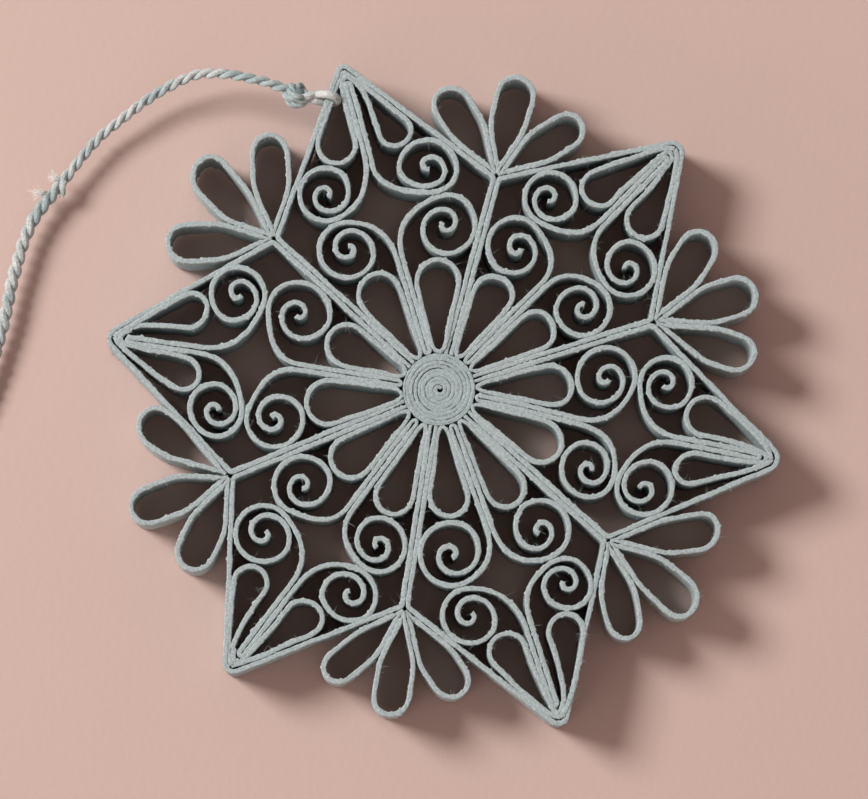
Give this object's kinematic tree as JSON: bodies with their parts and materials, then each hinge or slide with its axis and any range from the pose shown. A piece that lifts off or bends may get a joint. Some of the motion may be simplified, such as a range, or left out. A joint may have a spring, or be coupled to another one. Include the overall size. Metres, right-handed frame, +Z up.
{
  "type": "quilled paper star ornament",
  "caption": "Six-pointed star of paper strips set on edge, with curled scrolls and petals round a tight coil, and a twisted cord to hang it by.",
  "frame": {"origin": "middle of the centre coil's underside, where the star rests", "axes": "+Z up through the paper's depth, +Y towards the tip that the cord is tied to, +X to the right seen from above"},
  "size_m": [0.134, 0.1078, 0.0113],
  "materials": {
    "paper": "soft fibrous grey-blue paper, paler and ragged along its cut edges",
    "coil_paper": "the same paper wound tight, cut edges showing as a ridged disc",
    "twine": "two-strand twisted pale twine with loose fibres"
  },
  "bodies": {
    "star": {"centre_coil": "coil_paper", "kite_frame_top": "paper", "kite_frame_upper_right": "paper", "kite_frame_lower_right": "paper", "kite_frame_bottom": "paper", "kite_frame_lower_left": "paper", "kite_frame_upper_left": "paper", "inner_scroll_top": "paper", "inner_scroll_upper_right": "paper", "inner_scroll_lower_right": "paper", "inner_scroll_bottom": "paper", "inner_scroll_lower_left": "paper", "inner_scroll_upper_left": "paper", "tip_scroll_top": "paper", "tip_scroll_upper_right": "paper", "tip_scroll_lower_right": "paper", "tip_scroll_bottom": "paper", "tip_scroll_lower_left": "paper", "tip_scroll_upper_left": "paper", "tip_teardrops_top": "paper", "tip_teardrops_upper_right": "paper", "tip_teardrops_lower_right": "paper", "tip_teardrops_bottom": "paper", "tip_teardrops_lower_left": "paper", "tip_teardrops_upper_left": "paper", "inner_petal_top_left": "paper", "inner_petal_top_right": "paper", "inner_petal_upper_right_left": "paper", "inner_petal_upper_right_right": "paper", "inner_petal_lower_right_left": "paper", "inner_petal_lower_right_right": "paper", "inner_petal_bottom_left": "paper", "inner_petal_bottom_right": "paper", "inner_petal_lower_left_left": "paper", "inner_petal_lower_left_right": "paper", "inner_petal_upper_left_left": "paper", "inner_petal_upper_left_right": "paper", "fan_petal_top_a": "paper", "fan_petal_top_b": "paper", "fan_petal_top_c": "paper", "fan_petal_upper_right_a": "paper", "fan_petal_upper_right_b": "paper", "fan_petal_upper_right_c": "paper", "fan_petal_lower_right_a": "paper", "fan_petal_lower_right_b": "paper", "fan_petal_lower_right_c": "paper", "fan_petal_bottom_a": "paper", "fan_petal_bottom_b": "paper", "fan_petal_bottom_c": "paper", "fan_petal_lower_left_a": "paper", "fan_petal_lower_left_b": "paper", "fan_petal_lower_left_c": "paper", "fan_petal_upper_left_a": "paper", "fan_petal_upper_left_b": "paper", "fan_petal_upper_left_c": "paper"},
    "tie": {"cord_tie": "twine", "cord_knot": "twine"},
    "cord": {"hanging_cord": "twine", "cord_end_knot": "twine", "cord_end_loop": "twine"}
  },
  "joints": [
    {"name": "tie_lift", "type": "hinge", "parent": "star", "child": "tie", "pos_m": [-0.0034, 0.045, 0.00955], "axis": [0.5, 0.866, 0], "range_deg": [0, 95]},
    {"name": "cord_swing", "type": "hinge", "parent": "tie", "child": "cord", "pos_m": [-0.00771, 0.04749, 0.00911], "axis": [0, 0, 1], "range_deg": [-90, 5]}
  ]
}
